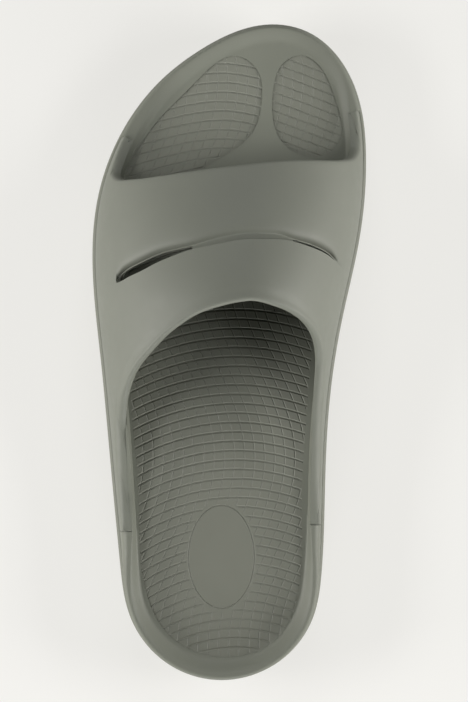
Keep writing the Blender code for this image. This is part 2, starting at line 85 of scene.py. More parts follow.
# Heights along the foot. Columns: percent of the half length, underside, side ledge, footbed,
# rise of the rim (outer, inner side), inset of the rim's inner lip (outer, inner side),
# width of the rim's inner slope
SOLE_SECTIONS = (
    (-100.0, 6.5, 23.0, 33.5, 4.0, 4.0, 2.6, 2.6, 8.2),
    (-78.0, 0.0, 19.0, 31.0, 5.0, 5.0, 3.0, 3.0, 6.2),
    (-44.0, 0.0, 18.5, 31.0, 5.4, 4.7, 8.9, 6.9, 0.9),
    (-19.0, 3.0, 18.5, 32.0, 10.6, 7.5, 9.8, 7.2, 0.8),
    (6.0, 0.0, 18.0, 29.0, 8.0, 7.0, 9.4, 7.2, 1.0),
    (46.0, 0.0, 17.0, 24.5, 6.0, 5.5, 8.0, 7.6, 1.4),
    (70.0, 4.0, 18.5, 25.0, 2.6, 2.6, 6.0, 6.0, 3.4),
    (87.0, 9.5, 22.0, 28.0, 2.4, 2.4, 2.4, 2.4, 6.6),
    (100.0, 14.5, 26.5, 31.5, 2.4, 2.4, 2.4, 2.4, 6.6),
)

# Crest of the band along the foot: percent of the half length, percent of BAND_TOP
CREST_SECTIONS = (
    (-55.0, 104.0),
    (-10.0, 103.0),
    (15.0, 100.0),
    (35.0, 90.0),
    (56.0, 76.0),
    (74.0, 66.0),
)

# Edges of the upper, one row for each line that runs over it from front to back.
# An angle is the way over the arch, in degrees: 0 at the outer foot, 90 at the crest, 180 at the inner foot.
# A place is along the foot, in millimetres.
# The slit is open up to the bridge over the crest, and again past it.
# Columns: name, front edge (angle, place), front lip of the slit (angle, place), width of the slit,
# how far the front lip rolls down, collar (angle, place), rounding of the edges
UPPER_LINES = (
    ("outer foot", 0.0, 94.5, 0.0, 27.0, 0.0, 0.0, 0.0, -78.3, 0.3),
    ("outer end", 11.0, 94.5, 9.0, 27.0, 0.0, 0.0, 11.0, -78.3, 0.3),
    ("outer end corner", 14.5, 94.45, 14.0, 27.5, 0.0, 0.0, 14.7, -77.8, 0.4),
    ("outer wing", 15.3, 87.0, 18.5, 28.0, 0.0, 0.0, 15.0, -66.0, 1.0),
    ("outer wing rise", 16.6, 80.0, 23.5, 29.0, 0.0, 0.0, 17.0, -48.0, 1.6),
    ("slit start", 23.5, 76.6, 31.6, 29.9, 0.0, 0.3, 20.0, -33.0, 1.8),
    ("slit corner", 28.5, 75.6, 33.4, 31.6, 1.5, 1.5, 24.0, -25.5, 1.8),
    ("outer side", 34.0, 75.3, 38.8, 35.0, 3.25, 2.9, 29.5, -17.5, 1.8),
    ("outer shoulder", 42.0, 75.4, 47.3, 38.3, 3.6, 3.2, 37.5, -8.5, 1.8),
    ("outer slope", 53.0, 76.3, 57.5, 42.2, 3.05, 3.0, 48.0, 0.0, 1.8),
    ("bridge start", 66.0, 77.8, 70.0, 45.2, 1.45, 2.4, 61.0, 10.2, 1.8),
    ("beside crest", 77.0, 79.2, 79.0, 48.0, 2.25, 2.0, 75.0, 18.0, 1.8),
    ("crest", 91.0, 80.9, 92.0, 50.45, 2.4, 1.9, 93.0, 22.0, 1.8),
    ("inner top", 104.0, 82.2, 105.0, 50.15, 2.2, 2.0, 110.0, 19.3, 1.8),
    ("bridge end", 115.0, 82.8, 114.5, 48.0, 0.8, 2.5, 125.0, 14.8, 1.8),
    ("inner shoulder", 127.0, 83.1, 126.5, 45.6, 0.95, 3.0, 138.0, 8.6, 1.8),
    ("inner side", 138.0, 83.2, 138.0, 42.5, 0.75, 2.6, 147.0, 2.0, 1.8),
    ("slit end", 148.0, 83.8, 148.8, 38.2, 0.0, 0.9, 153.0, -6.0, 1.8),
    ("inner wing rise", 158.0, 86.0, 155.0, 36.5, 0.0, 0.15, 157.5, -24.0, 1.8),
    ("inner wing", 164.5, 91.0, 160.5, 36.0, 0.0, 0.0, 161.5, -45.0, 1.6),
    ("inner wing end", 165.5, 98.5, 165.0, 36.0, 0.0, 0.0, 164.0, -64.0, 1.0),
    ("inner end corner", 166.0, 105.65, 168.5, 36.0, 0.0, 0.0, 165.0, -74.7, 0.4),
    ("inner end", 169.0, 105.7, 173.0, 36.0, 0.0, 0.0, 169.0, -75.2, 0.3),
    ("inner foot", 180.0, 105.7, 180.0, 36.0, 0.0, 0.0, 180.0, -75.2, 0.3),
)

# Plan outlines of what is let into the footbed, round from the front point by the inner side (x, y)
INSOLE_OUTLINE = (
    (2.0, 66.0),
    (30.0, 56.0),
    (42.5, 32.0),
    (37.5, 6.0),
    (34.0, -24.0),
    (31.8, -60.0),
    (31.2, -98.0),
    (21.6, -124.6),
    (-2.0, -133.0),
    (-26.4, -123.2),
    (-37.6, -98.0),
    (-39.4, -65.0),
    (-42.6, -24.0),
    (-45.3, 12.0),
    (-45.0, 38.0),
    (-29.0, 58.0),
)
LATERAL_PAD_OUTLINE = (
    (4.5, 129.5),
    (13.0, 122.5),
    (14.5, 114.0),
    (10.0, 96.0),
    (-4.0, 85.0),
    (-22.0, 74.0),
    (-39.0, 70.0),
    (-45.0, 78.0),
    (-41.0, 88.0),
    (-30.5, 102.5),
    (-16.5, 116.5),
)
MEDIAL_PAD_OUTLINE = (
    (31.0, 130.0),
    (39.5, 125.5),
    (45.0, 115.5),
    (48.5, 105.0),
    (49.5, 95.0),
    (43.0, 87.0),
    (32.0, 86.5),
    (22.0, 94.0),
    (19.0, 105.0),
    (19.5, 116.0),
    (22.5, 125.0),
)

# Side of the sole up to the ledge: name, inset from the outline, percent of the way up, rise over that
SIDE_STEPS = (
    ("foot of the edge", 6.0, 0.0, 0.0),
    ("bottom round", 2.8, 0.0, 0.9),
    ("lower side", 1.3, 0.0, 3.4),
    ("middle of the side", 0.3, 50.0, 0.0),
    ("bead", 0.0, 100.0, -2.4),
    ("bead round", 0.4, 100.0, -0.9),
    ("top of the bead", 1.0, 100.0, -0.2),
)

# Section of the sole: ledge, seam, seat of the upper, rim with its rounding at sides and ends, and arch
LEDGE_WIDTH = 1.5
LEDGE_END = 1.2
SEAM_DEPTH = 0.12
SEAT_DROP = 0.4
SEAT_GAP = 0.3
ROOM_DROP = 0.1
RIM_CREST = 2.4
RIM_TURN = 15.0
ROUND_HIGH = (4.0, 1.8)
ROUND_WIDE = (3.0, 1.6)
END_REACH = ((70.0, 94.0), (-79.0, -104.0))
END_LEAN = 0.3
LEAN_REACH = (34.0, 58.0)
LEAN_LIMIT = 0.9
ARCH_LIFT = 4.5
ARCH_PLACE = -22.0
ARCH_SPREAD = 42.0
ARCH_REACH = (6.0, 40.0)

# Section of the band: how the front lip of the slit rolls down, and the soft trough along the collar
CREST_X = 7.0
LIP_FLAT = 0.5
LIP_ROLL = 1.8
LIP_UPRIGHT = 4.0
STEEP_LIMIT = 0.5
STRIP_SHARES = (0.0, 0.08, 0.2, 0.45, 0.7, 0.85, 0.93, 1.0)
STRIP_DEPTHS = (1.0, 1.0, 0.93, 0.78, 0.62, 0.5, 0.4, 0.0)
TROUGH_DEPTH = 0.45
TROUGH_PLACE = 4.0
TROUGH_SPREAD = 2.1
TROUGH_RANGE = (24.0, 36.0)

# Rounding of the free edges: how it grows from the band to the wings, and where the top of the wall lies
WING_RANGE = (20.0, 36.0)
FRONT_WING_ROUND = 1.2
COLLAR_WING_ROUND = 2.6
BAND_PEAK = 0.5
WING_PEAK = 1.0
TAIL_ROUND = 0.15
HEEL_END_ROUND = 0.3
TAIL_LINES = 3
LINE_SLANT = 0.08
ZONE_LIMIT = 0.45

# A short step in from an edge, as a share of its line, and the least square of a length to divide by
NEAR_EDGE = 0.02
LEAST_SQUARE = 1e-9

# How the wings end level with the rim: the last row, from the nearer foot, that does so at the front and
# at the collar, the most that an angle is turned for it, and how often it is bettered
FRONT_SEATED = 3
COLLAR_SEATED = 4
SEATED_TURN = 2.0
SEATED_TRIES = 6

# What is let into the footbed
PAD_DEPTH = 2.6
PAD_SINK = 0.5
OVAL_CENTRE = (-3.3, -89.2)
OVAL_HALF = (14.4, 22.5)
OVAL_GROOVE = 0.9
OVAL_GROOVE_DEPTH = 0.34

# Ribbed grid of the footbed: grooves across, on arcs that bow to the toe, and fainter ones along, that sway
ACROSS_PITCH = 4.1
ACROSS_WIDTH = 1.2
ACROSS_DEPTH = 0.38
ALONG_PITCH = 4.4
ALONG_WIDTH = 0.75
ALONG_DEPTH = 0.20
SWAY = 12.3
SWAY_APEX = -45.8
SWAY_LENGTH = 164.4
ARC_APEX = 3.3
ARC_RADII = ((-130.0, 62.0), (-10.0, 98.0))
TOE_APEX = -3.1
TOE_ROUND = 20.0
TOE_FALL_OUTER = 0.33
TOE_FALL_INNER = 0.43
GROOVE_FADE = (0.1, 0.7)
OVAL_FADE = (1.0, 2.4)
ARC_LIMIT = 0.9
ARC_TRIES = 16

# Section of one groove: place from its middle in widths, and share of its depth.
# Between two grooves, mesh lines lie at these shares of the gap
GROOVE_PROFILE = ((-0.5, 0.0), (-0.25, 0.55), (0.0, 1.0), (0.25, 0.55), (0.5, 0.0))
BETWEEN_GROOVES = (1.0 / 3.0, 2.0 / 3.0)

# Block that cuts the ribs: how far it goes past the pad, how far its sides rise and where they are levelled
BLOCK_MARGIN = 4.0
BLOCK_RISE = 40.0
BLOCK_TOP = 80.0

# Tread grooves under forefoot and heel: name, first place along the foot, number
TREAD_ROWS = (("forefoot", 14.0, 5), ("heel", -106.0, 4))
TREAD_PITCH = 12.0
TREAD_WIDTH = 3.2
TREAD_FLOOR = 2.2
TREAD_DEPTH = 2.0
TREAD_BOW = 4.0
TREAD_SPAN = 0.74

# How finely the curves are divided
OUTLINE_STEPS = 256
SPLINE_STEPS = 32
SIDE_RINGS = 25
WALL_SHARES = (0.35, 0.7)
RIM_RINGS = 8
CREST_RINGS = 8
SLOPE_RINGS = 12
FOOTBED_MARGIN = 0.8
LEAST_CREST = 0.4
GRID_SPAN = 40
LINE_STEPS = 8
FRONT_ROWS = 30
ROW_SPREAD = 0.7
BACK_ROWS = 32
NOSE_STEPS = 7
WING_STEPS = 96
WING_ANGLES = (0.0, 5.0, 10.0, 15.0, 20.0, 25.0, 30.0, 34.0)
TREAD_STEPS = 17
OVAL_STEPS = 128
SPAN_SHARE = 8
NORMAL_STEP = 0.5
SHARP_ANGLE = 40.0
RIB_SHARP_ANGLE = 14.0
MERGE_MM = 0.004
DISTANCE_BATCH = 4096

# How far a cutter runs on past its cut: sideways, over or under the surface, and over the oval's groove
CUTTER_REACH = 8.0
CUTTER_RISE = 2.0
OVAL_RISE = 3.0

# Photo frame: the camera looks straight down, at the scale of the ledge
CAMERA_PLACE = (0.00219, 0.00066, 1.5)
CAMERA_LENS = 172.5

# Foam: its colours, and how tone, gloss and grain change over it. A noise is given by scale and detail
UPPER_COLOUR = (0.149, 0.157, 0.129)
SOLE_COLOUR = (0.149, 0.157, 0.127)
FOOTBED_COLOUR = (0.150, 0.156, 0.127)
FOAM_SPECULAR = 0.4
TONE_RANGE = (0.94, 1.06)
TONE_NOISE = (38.0, 3.0)
GLOSS_RANGE = (0.52, 0.66)
GLOSS_NOISE = (160.0, 2.0)
GRAIN_STRENGTH = 0.25
GRAIN_HEIGHT = 0.00008
GRAIN_NOISE = (1500.0, 2.0)

# Studio, in metres and watts. Columns of the lights: name, place, power, colour.
# A side light stands on both sides of the foot
LIGHT_SIZE = (0.45, 0.22)
LIGHT_AIM = (0.0, 0.0, 0.03)
WHITE = (1.0, 1.0, 1.0)
WARM = (1.0, 0.972, 0.955)
SIDE_LIGHTS = (
    ("low light", (0.91, -0.16, 0.24), 7.2, WARM),
    ("side light", (0.75, 0.0, 0.62), 3.7, WHITE),
)
END_LIGHTS = (
    ("toe light", (0.0, 0.73, 0.64), 2.4, WHITE),
    ("heel light", (0.0, -0.92, 0.24), 5.4, WHITE),
)
WORLD_STRENGTH = 0.01
FLOOR_SIZE = 8.0
FLOOR_DROP = 0.0002
FLOOR_COLOUR = (0.25, 0.249, 0.241, 1.0)
FLOOR_ROUGHNESS = 0.95
GLOW_COLOUR = (1.0, 0.99, 0.953, 1.0)
GLOW_STRENGTH = 0.60


def ease(share):
    """A share that starts and ends softly, held between 0 and 1."""
    held = np.clip(share, 0.0, 1.0)
    return held * held * (3.0 - 2.0 * held)


def through(value, reach):
    """Share of the way that a value has come through a range, with a soft start and end."""
    return ease((value - reach[0]) / (reach[1] - reach[0]))


def mixed(start, end, share):
    """A value on the way from start to end."""
    return start + (end - start) * share


def smooth_through(knots, values):
    """A curve through the values that never swings past them."""
    knots = np.asarray(knots, dtype=float)
    values = np.asarray(values, dtype=float)
    gaps = np.diff(knots)
    slopes = np.diff(values) / gaps
    lean = np.zeros_like(values)
    lean[0] = slopes[0]
    lean[-1] = slopes[-1]
    same_way = slopes[:-1] * slopes[1:] > 0.0
    pair_sum = np.where(same_way, slopes[:-1] + slopes[1:], 1.0)
    lean[1:-1] = np.where(same_way, 2.0 * slopes[:-1] * slopes[1:] / pair_sum, 0.0)

    def curve(place):
        place = np.clip(np.asarray(place, dtype=float), knots[0], knots[-1])
        span = np.clip(np.searchsorted(knots, place) - 1, 0, len(gaps) - 1)
        share = (place - knots[span]) / gaps[span]
        back = 1.0 - share
        start = values[span] * (1.0 + 2.0 * share) * back * back
        end = values[span + 1] * (3.0 - 2.0 * share) * share * share
        bend = gaps[span] * share * back * (lean[span] * back - lean[span + 1] * share)
        return start + end + bend

    return curve


def closed_spline(points, count):
    """Evenly spaced points on a smooth closed curve through the given ones, from the first on."""
    knots = np.asarray(points, dtype=float)
    size = len(knots)
    ahead = np.roll(knots, -1, axis=0) - knots
    gap = np.linalg.norm(ahead, axis=1)
    gap_before = np.roll(gap, 1)
    system = np.zeros((size, size))
    for row in range(size):
        system[row, row - 1] += 1.0 / gap_before[row]
        system[row, row] += 2.0 / gap_before[row] + 2.0 / gap[row]
        system[row, (row + 1) % size] += 1.0 / gap[row]
    pull = 3.0 * (ahead / gap[:, None] ** 2 + np.roll(ahead, 1, axis=0) / gap_before[:, None] ** 2)
    speed = np.linalg.solve(system, pull)
    share = np.linspace(0.0, 1.0, SPLINE_STEPS, endpoint=False)[None, :, None]
    back = 1.0 - share
    reach = gap[:, None, None]
    fine = (
        knots[:, None] * (1.0 + 2.0 * share) * back * back
        + np.roll(knots, -1, axis=0)[:, None] * (3.0 - 2.0 * share) * share * share
        + reach * share * back * (speed[:, None] * back - np.roll(speed, -1, axis=0)[:, None] * share)
    ).reshape(-1, 2)
    fine = np.vstack([fine, fine[:1]])
    run = np.concatenate([[0.0], np.cumsum(np.linalg.norm(np.diff(fine, axis=0), axis=1))])
    even = np.linspace(0.0, run[-1], count, endpoint=False)
    return np.column_stack([np.interp(even, run, fine[:, axis]) for axis in range(2)])


def inset_loop(loop, inset):
    """The closed plan loop, which runs clockwise, moved inwards."""
    along = np.roll(loop, -1, axis=0) - np.roll(loop, 1, axis=0)
    along /= np.linalg.norm(along, axis=1)[:, None]
    inward = np.column_stack([along[:, 1], -along[:, 0]])
    return loop + inward * np.reshape(inset, (-1, 1))


def loop_distance(loop, x, y):
    """How far each plan point lies from a closed loop."""
    points = np.column_stack([np.ravel(x), np.ravel(y)])
    step = np.roll(loop, -1, axis=0) - loop
    found = []
    for first in range(0, len(points), DISTANCE_BATCH):
        offset = points[first : first + DISTANCE_BATCH, None] - loop[None]
        share = np.clip((offset * step).sum(axis=2) / (step * step).sum(axis=1), 0.0, 1.0)
        apart = np.linalg.norm(offset - share[:, :, None] * step, axis=2)
        found.append(apart.min(axis=1))
    return np.concatenate(found).reshape(np.shape(x))


HALF_LENGTH = LENGTH / 2.0
OUTLINE_PLAN = [(x * WIDTH / 200.0, y * LENGTH / 200.0) for _, x, y in OUTLINE]
RIM_LOOP = closed_spline(OUTLINE_PLAN, OUTLINE_STEPS)
FINE_LOOP = closed_spline(OUTLINE_PLAN, 2 * OUTLINE_STEPS)

section_percents, *section_columns = zip(*SOLE_SECTIONS)
section_places = [percent * HALF_LENGTH / 100.0 for percent in section_percents]
underside, ledge, footbed_level, outer_rise, inner_rise, outer_lip, inner_lip, rim_width = [
    smooth_through(section_places, column) for column in section_columns
]
crest = smooth_through(
    [percent * HALF_LENGTH / 100.0 for percent, _ in CREST_SECTIONS],
    [percent * BAND_TOP / 100.0 for _, percent in CREST_SECTIONS],
)


def side_x(place, inner):
    """The sole's outline on its inner or outer side, at a place along the foot."""
    heel = int(np.argmin(FINE_LOOP[:, 1]))
    side = FINE_LOOP[: heel + 1][::-1] if inner else FINE_LOOP[heel:]
    return np.interp(place, side[:, 1], side[:, 0])


def by_side(x, outer, inner):
    """A value that differs on the two sides of the foot and changes softly between them."""
    share = through(x, (-RIM_TURN, RIM_TURN))
    return (1.0 - share) * outer + share * inner


def lip_inset(x, y):
    """Inset of the rim's inner lip."""
    return by_side(x, outer_lip(y), inner_lip(y))


def footbed(x, y):
    """Height of the moulded top of the sole: level, arch and rim."""
    inset = loop_distance(FINE_LOOP, x, y)
    slope_foot = lip_inset(x, y) + rim_width(y)
    rim = by_side(x, outer_rise(y), inner_rise(y)) * ease((slope_foot - inset) / rim_width(y))
    arch = ARCH_LIFT * np.exp(-(((y - ARCH_PLACE) / ARCH_SPREAD) ** 2))
    return footbed_level(y) + rim + arch * through(x, ARCH_REACH)


def band_surface(angle, place):
    """Outer surface of the upper, at an angle over the arch and a place along the foot."""
    turn = np.radians(angle)
    outer_half = CREST_X - side_x(place, False) - LEDGE_WIDTH
    inner_half = side_x(place, True) - LEDGE_WIDTH - CREST_X
    half = np.where(angle < 90.0, outer_half, inner_half)
    foot = ledge(place) - SEAT_DROP + SEAT_GAP
    x = CREST_X - half * np.cos(turn)
    z = foot + (crest(place) - foot) * np.sin(turn)
    return np.stack([x, np.broadcast_to(place, np.shape(x)), z], axis=-1)


def band_normal(angle, place):
    """Direction straight out of the upper's outer surface."""
    over = band_surface(angle + NORMAL_STEP, place) - band_surface(angle - NORMAL_STEP, place)
    along = band_surface(angle, place + NORMAL_STEP) - band_surface(angle, place - NORMAL_STEP)
    out = np.cross(over, along)
    return out / np.linalg.norm(out, axis=-1, keepdims=True)


# Modelling steps, as by hand


def deselect():
    """Select no object."""
    bpy.ops.object.select_all(action="DESELECT")


def edit(piece, kind="VERT"):
    """Go into edit mode on one piece, with nothing else selected."""
    deselect()
    piece.select_set(True)
    bpy.context.view_layer.objects.active = piece
    bpy.ops.object.mode_set(mode="EDIT")
    bpy.ops.mesh.select_mode(type=kind)


def leave():
    """Go back to object mode."""
    bpy.ops.object.mode_set(mode="OBJECT")


def move_points(piece, points):
    """Move the piece's points, given in millimetres in the order of its grid."""
    piece.data.vertices.foreach_set("co", (np.reshape(points, -1) * MM).astype(np.float32))
    piece.data.update()


def grid(name, points):
    """A grid primitive with a row for each row of points, bent into their shape."""
    rows, columns = np.shape(points)[:2]
    deselect()
    bpy.ops.mesh.primitive_grid_add(x_subdivisions=columns - 1, y_subdivisions=rows - 1, size=1.0)
    piece = bpy.context.active_object
    piece.name = name
    piece.data.name = name
    move_points(piece, points)
    return piece


def ringed(points):
    """The rows of points, each closed into a ring by its first point."""
    return np.concatenate([points, points[:, :1]], axis=1)


def select_none(piece):
    """Clear the selection in a piece's mesh."""
    for items in (piece.data.vertices, piece.data.edges, piece.data.polygons):
        items.foreach_set("select", np.zeros(len(items), dtype=bool))


def weld(piece):
    """Merge points that fall together and turn the faces outwards."""
    edit(piece)
    bpy.ops.mesh.select_all(action="SELECT")
    bpy.ops.mesh.remove_doubles(threshold=MERGE_MM * MM)
    bpy.ops.mesh.normals_make_consistent(inside=False)
    leave()


def close_holes(piece):
    """Close every open edge with a flat face."""
    edit(piece)
    bpy.ops.mesh.select_all(action="SELECT")
    bpy.ops.mesh.fill_holes(sides=0)
    bpy.ops.mesh.normals_make_consistent(inside=False)
    leave()


def cap(piece, ring, span, height):
    """Close one ring of the piece's points with a grid that follows a height."""
    count = len(piece.data.vertices)
    select_none(piece)
    chosen = np.zeros(count, dtype=bool)
    chosen[ring] = True
    piece.data.vertices.foreach_set("select", chosen)
    edit(piece)
    bpy.ops.mesh.fill_grid(span=span)
    leave()
    points = np.empty(3 * len(piece.data.vertices), dtype=np.float32)
    piece.data.vertices.foreach_get("co", points)
    points = points.reshape(-1, 3).astype(float) / MM
    points[count:, 2] = height(points[count:, 0], points[count:, 1])
    move_points(piece, points)


def finish_modifier(piece, kind, **settings):
    """Add a modifier and apply it."""
    deselect()
    piece.select_set(True)
    bpy.context.view_layer.objects.active = piece
    modifier = piece.modifiers.new(kind.lower(), kind)
    for name, value in settings.items():
        setattr(modifier, name, value)
    bpy.ops.object.modifier_apply(modifier=modifier.name)


def carve(piece, cutter):
    """Cut one shape out of a piece, and throw the cutter away."""
    finish_modifier(piece, "BOOLEAN", operation="DIFFERENCE", solver="EXACT", object=cutter)
    bpy.data.objects.remove(cutter, do_unlink=True)


def smooth(piece, angle=SHARP_ANGLE):
    """Shade a piece smooth, apart from its sharp edges."""
    deselect()
    piece.select_set(True)
    bpy.context.view_layer.objects.active = piece
    bpy.ops.object.shade_smooth_by_angle(angle=math.radians(angle))


# Sole


def sole_rings():
    """Rings of the sole from the foot of its edge, up its side and over the rim to the footbed."""
    x, y = RIM_LOOP.T
    shelf = ledge(y)
    low = underside(y)
    crest_loop = inset_loop(RIM_LOOP, RIM_CREST)
    top = footbed(crest_loop[:, 0], crest_loop[:, 1])
    half = np.clip(np.abs(x - CREST_X), *LEAN_REACH)
    arch_height = crest(y) - shelf
    at_end = np.maximum(*[through(y, reach) for reach in END_REACH])
    shelf_width = mixed(LEDGE_WIDTH, LEDGE_END, at_end)
    high = mixed(*ROUND_HIGH, at_end)
    wide = mixed(*ROUND_WIDE, at_end)
    lean = half * mixed(1.0, END_LEAN, at_end)

    def leaned(height):
        """Inset of the rim's outer face, which leans in as the upper does, and less at toe and heel."""
        share = np.clip((height - shelf) / arch_height, 0.0, LEAN_LIMIT)
        return shelf_width + lean * (1.0 - np.sqrt(1.0 - share * share))

    def ring(inset, height):
        return np.column_stack([inset_loop(RIM_LOOP, inset), np.broadcast_to(height, len(RIM_LOOP))])

    rings = []
    steps = np.arange(len(SIDE_STEPS))
    _, *columns = zip(*SIDE_STEPS)
    side = [smooth_through(steps, column) for column in columns]
    for step in np.linspace(0.0, steps[-1], SIDE_RINGS):
        inset, up, rise = (float(curve(step)) for curve in side)
        rings.append(ring(inset * shelf_width / LEDGE_WIDTH, low + (shelf - low) * up / 100.0 + rise))
    rings.append(ring(shelf_width, shelf - SEAM_DEPTH * (1.0 - at_end)))
    for share in WALL_SHARES:
        height = mixed(shelf, top - high, share)
        rings.append(ring(leaned(height), height))
    shoulder = leaned(top - high)
    for turn in np.linspace(0.0, 0.5 * math.pi, RIM_RINGS, endpoint=False):
        rings.append(ring(shoulder + wide * (1.0 - math.cos(turn)), top - high * (1.0 - math.sin(turn))))
    crest_inset = shoulder + wide
    lip = np.maximum(lip_inset(x, y), crest_inset + LEAST_CREST)
    slope_foot = lip_inset(x, y) + rim_width(y)
    insets = []
    for start, end, count in ((crest_inset, lip, CREST_RINGS), (lip, slope_foot, SLOPE_RINGS)):
        for share in np.linspace(0.0, 1.0, count, endpoint=False):
            insets.append(mixed(start, end, share))
    insets += [slope_foot, slope_foot + FOOTBED_MARGIN]
    for inset in insets:
        loop = inset_loop(RIM_LOOP, inset)
        rings.append(ring(inset, footbed(loop[:, 0], loop[:, 1])))
    return np.array(rings)


def wing_room(inner):
    """Room for one wing of the upper: all that lies outside its inner face, above the seat."""
    _, _, front_end, *_, collar_end, _ = UPPER_LINES[-1 if inner else 0]
    angles = np.array(WING_ANGLES)
    if inner:
        angles = 180.0 - angles
    rows = []
    for place in np.linspace(front_end + SEAM_GAP, collar_end - SEAM_GAP, WING_STEPS):
        skin = band_surface(angles, place)
        out = band_normal(angles, place)
        face = skin - (WALL + SEAM_GAP) * out
        face[0, 2] = ledge(place) - SEAT_DROP
        outside = skin[0] + CUTTER_REACH * out[0]
        beside = skin[0] + SEAM_GAP * out[0]
        bead_top = ledge(place) - ROOM_DROP
        corners = (
            (outside[0], outside[1], face[-1, 2]),
            (outside[0], outside[1], bead_top),
            (beside[0], beside[1], bead_top),
            (beside[0], beside[1], face[0, 2]),
        )
        rows.append(np.vstack([face, corners]))
    room = grid("inner wing room" if inner else "outer wing room", ringed(np.array(rows)))
    weld(room)
    close_holes(room)
    return room


def tread_groove(name, place):
    """Cutter for one groove across the underside, bowed to the toe."""
    left = side_x(place, False)
    right = side_x(place, True)
    middle = 0.5 * (left + right)
    half = 0.5 * (right - left) * TREAD_SPAN
    rows = []
    for share in np.linspace(-1.0, 1.0, TREAD_STEPS):
        across = middle + share * half
        bowed = place - TREAD_BOW * share * share
        rows.append((
            (across, bowed + 0.5 * TREAD_WIDTH, -CUTTER_RISE),
            (across, bowed + 0.5 * TREAD_FLOOR, TREAD_DEPTH),
            (across, bowed - 0.5 * TREAD_FLOOR, TREAD_DEPTH),
            (across, bowed - 0.5 * TREAD_WIDTH, -CUTTER_RISE),
        ))
    bar = grid("tread groove " + name, ringed(np.array(rows)))
    weld(bar)
    close_holes(bar)
    return bar


def tread_grooves():
    """All grooves of the tread, joined into one cutter."""
    bars = []
    for name, first, count in TREAD_ROWS:
        for number in range(count):
            bars.append(tread_groove(name, first + number * TREAD_PITCH))
    deselect()
    for bar in bars:
        bar.select_set(True)
    bpy.context.view_layer.objects.active = bars[0]
    bpy.ops.object.join()
    return bars[0]


def pad_slab(name, outline, steps, reach, low, high):
    """A closed slab between two heights over the footbed, with its side moved outwards."""
    loop = closed_spline(outline, steps)
    plan = inset_loop(loop, -reach)
    level = footbed(loop[:, 0], loop[:, 1])
    rings = [np.column_stack([plan, level + lift]) for lift in (low, high)]
    piece = grid(name, ringed(np.array(rings)))
    weld(piece)
    total = len(piece.data.vertices)
    span = steps // SPAN_SHARE
    cap(piece, np.arange(steps), span, lambda x, y: footbed(x, y) + low)
    cap(piece, np.arange(total - steps, total), span, lambda x, y: footbed(x, y) + high)
    weld(piece)
    return piece, loop


def make_sole():
    """The sole, with recesses for the pads, room for the wings and its tread cut in."""
    sole = grid("foam_sole", ringed(sole_rings()))
    weld(sole)
    total = len(sole.data.vertices)
    cap(sole, np.arange(OUTLINE_STEPS), GRID_SPAN, lambda x, y: underside(y))
    cap(sole, np.arange(total - OUTLINE_STEPS, total), GRID_SPAN, footbed)
    weld(sole)
    under = -PAD_SINK - PAD_DEPTH - SEAT_GAP
    for name, outline, steps in PADS:
        recess, _ = pad_slab(name + " recess", outline, steps, SEAM_GAP, under, CUTTER_REACH)
        carve(sole, recess)
    for inner in (False, True):
        carve(sole, wing_room(inner))
    carve(sole, tread_grooves())
    smooth(sole)
    return sole


# Upper


def upper_lines():
    """Front edge, slit, its width and roll, collar and rounding at each fine line over the upper."""
    knots = np.arange(len(UPPER_LINES))
    fine = np.linspace(0, knots[-1], knots[-1] * LINE_STEPS + 1)
    columns = [smooth_through(knots, values)(fine) for values in list(zip(*UPPER_LINES))[1:]]
    front_angle, front_place, slit_angle, slit_place, gap, dip, collar_angle, collar_place, rounding = columns
    front = np.column_stack([front_angle, front_place])
    slit = np.column_stack([slit_angle, slit_place])
    return front, slit, gap, dip, np.column_stack([collar_angle, collar_place]), rounding


def seated(edge, last_row):
    """A free edge turned so that the inner face of each wing ends level with the rim beside it."""
    given, along = edge.T
    row = np.arange(len(edge)) / LINE_STEPS
    row = np.minimum(row, row[::-1])
    share = ease(row - 1.0) * (1.0 - ease(row - last_row))
    rate = np.radians(crest(along) - ledge(along)) * np.where(given < 90.0, 1.0, -1.0)
    angle = given
    for _ in range(SEATED_TRIES):
        inside = band_surface(angle, along) - WALL * band_normal(angle, along)
        over_rim = inside[:, 2] - footbed(inside[:, 0], inside[:, 1])
        angle = np.clip(angle - over_rim / rate, given - SEATED_TURN, given + SEATED_TURN)
    return np.column_stack([given + share * (angle - given), along])


def spread_rows(count):
    """Shares from 0 to 1 that lie closer together towards 1."""
    even = np.linspace(0.0, 1.0, count + 1)
    return (1.0 - ROW_SPREAD) * even + ROW_SPREAD * np.sin(0.5 * math.pi * even)


def nose_rows():
    """Shares from 0 to 1 that follow a quarter round from its tip."""
    return 1.0 - np.cos(np.linspace(0.0, 0.5 * math.pi, NOSE_STEPS + 1))


def over_range(angle, reach):
    """Share of the way, from the foot of the arch up, that an angle has come through a range."""
    return through(np.minimum(angle, 180.0 - angle), reach)


def edge_rounding(edge, rounding, wing_round):
    """Reach of a free edge's rounding on the outer face, and the share of the wall where its top lies."""
    wing = 1.0 - over_range(edge[:, 0], WING_RANGE)
    return rounding * mixed(1.0, wing_round, wing), mixed(BAND_PEAK, WING_PEAK, wing)


def rounded_off(points, tip, reach, depth):
    """How far each point is pulled into the wall by the rounding of a free edge near it."""
    flat = points.reshape(-1, 3)
    step = np.diff(tip, axis=0)
    square = np.maximum((step * step).sum(axis=1), LEAST_SQUARE)
    offset = flat[:, None] - tip[None, :-1]
    share = np.clip((offset * step).sum(axis=2) / square, 0.0, 1.0)
    apart = np.linalg.norm(offset - share[:, :, None] * step, axis=2)
    reach = reach[:-1] * (1.0 - share) + reach[1:] * share
    depth = depth[:-1] * (1.0 - share) + depth[1:] * share
    inside = np.clip(1.0 - apart / reach, 0.0, 1.0)
    pulled = depth * (1.0 - np.sqrt(1.0 - inside * inside))
    return pulled.max(axis=1).reshape(points.shape[:-1])


